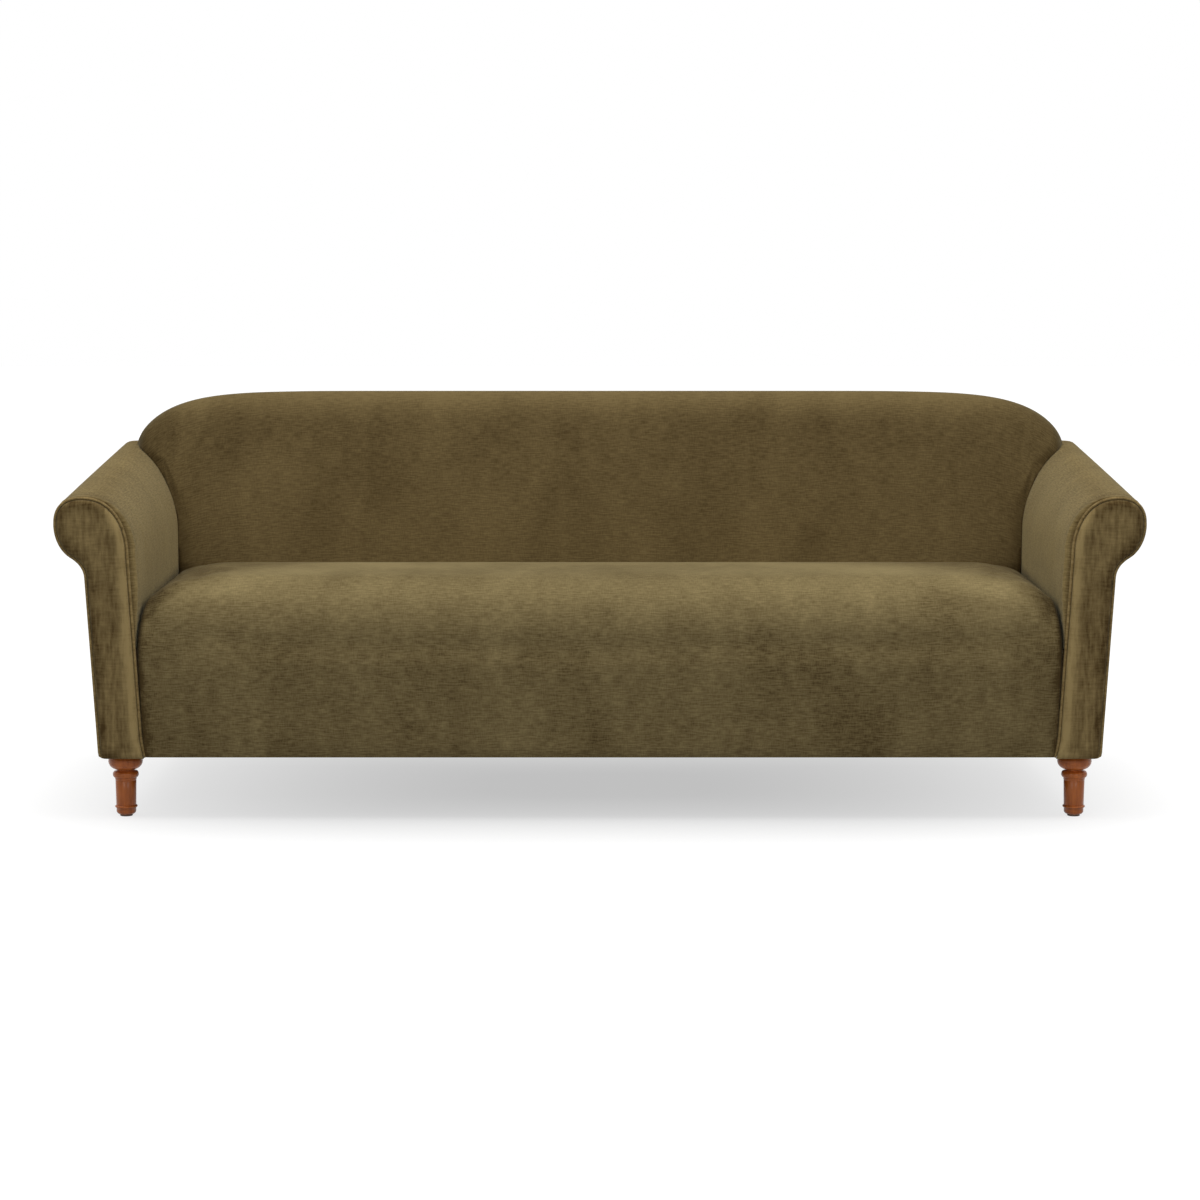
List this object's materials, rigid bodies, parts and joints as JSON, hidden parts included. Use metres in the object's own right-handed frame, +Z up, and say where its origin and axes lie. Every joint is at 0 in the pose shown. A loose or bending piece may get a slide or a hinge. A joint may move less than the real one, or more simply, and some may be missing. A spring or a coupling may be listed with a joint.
{
  "type": "english roll arm sofa",
  "caption": "Roll arm sofa in olive velvet with a low camelback, tight back and tight seat, welted arm fronts and short turned wooden legs.",
  "frame": {"origin": "on the floor, under the middle of the sofa's bounding box", "axes": "+X to the right seen from the front, the front faces -Y, +Z up"},
  "size_m": [2.2, 0.88, 0.842],
  "materials": {
    "velvet": "soft pile velvet",
    "dust_cloth": "matt cloth",
    "frame_wood": "sawn, unfinished",
    "webbing": "coarse jute",
    "spring_steel": "drawn",
    "leg_wood": "satin stained",
    "glide_nylon": "moulded"
  },
  "bodies": {
    "root": {"seat_pad": "velvet", "back_pad": "velvet", "outside_back": "velvet", "arm_pad_right": "velvet", "arm_pad_left": "velvet", "arm_facing_right": "velvet", "arm_facing_left": "velvet", "arm_piping_right": "velvet", "arm_piping_left": "velvet", "outside_arm_right": "velvet", "outside_arm_left": "velvet", "dust_cover": "dust_cloth", "front_rail": "frame_wood", "rear_rail": "frame_wood", "back_bottom_rail": "frame_wood", "back_tack_rail": "frame_wood", "back_top_rail": "frame_wood", "back_webbing": "webbing", "end_rail_right": "frame_wood", "end_rail_left": "frame_wood", "arm_post_right": "frame_wood", "arm_post_left": "frame_wood", "back_post_right": "frame_wood", "back_post_left": "frame_wood", "arm_rail_right": "frame_wood", "arm_rail_left": "frame_wood", "arm_tack_rail_right": "frame_wood", "arm_tack_rail_left": "frame_wood", "seat_brace_right": "frame_wood", "seat_brace_left": "frame_wood", "back_rib_1": "frame_wood", "back_rib_2": "frame_wood", "back_rib_3": "frame_wood", "back_rib_4": "frame_wood", "seat_spring_1": "spring_steel", "seat_spring_2": "spring_steel", "seat_spring_3": "spring_steel", "seat_spring_4": "spring_steel", "seat_spring_5": "spring_steel", "seat_spring_6": "spring_steel", "corner_block_front_right": "frame_wood", "leg_front_right": "leg_wood", "hanger_bolt_front_right": "spring_steel", "tee_nut_front_right": "spring_steel", "glide_front_right": "glide_nylon", "corner_block_front_left": "frame_wood", "leg_front_left": "leg_wood", "hanger_bolt_front_left": "spring_steel", "tee_nut_front_left": "spring_steel", "glide_front_left": "glide_nylon", "corner_block_rear_right": "frame_wood", "leg_rear_right": "leg_wood", "hanger_bolt_rear_right": "spring_steel", "tee_nut_rear_right": "spring_steel", "glide_rear_right": "glide_nylon", "corner_block_rear_left": "frame_wood", "leg_rear_left": "leg_wood", "hanger_bolt_rear_left": "spring_steel", "tee_nut_rear_left": "spring_steel", "glide_rear_left": "glide_nylon"}
  },
  "joints": []
}
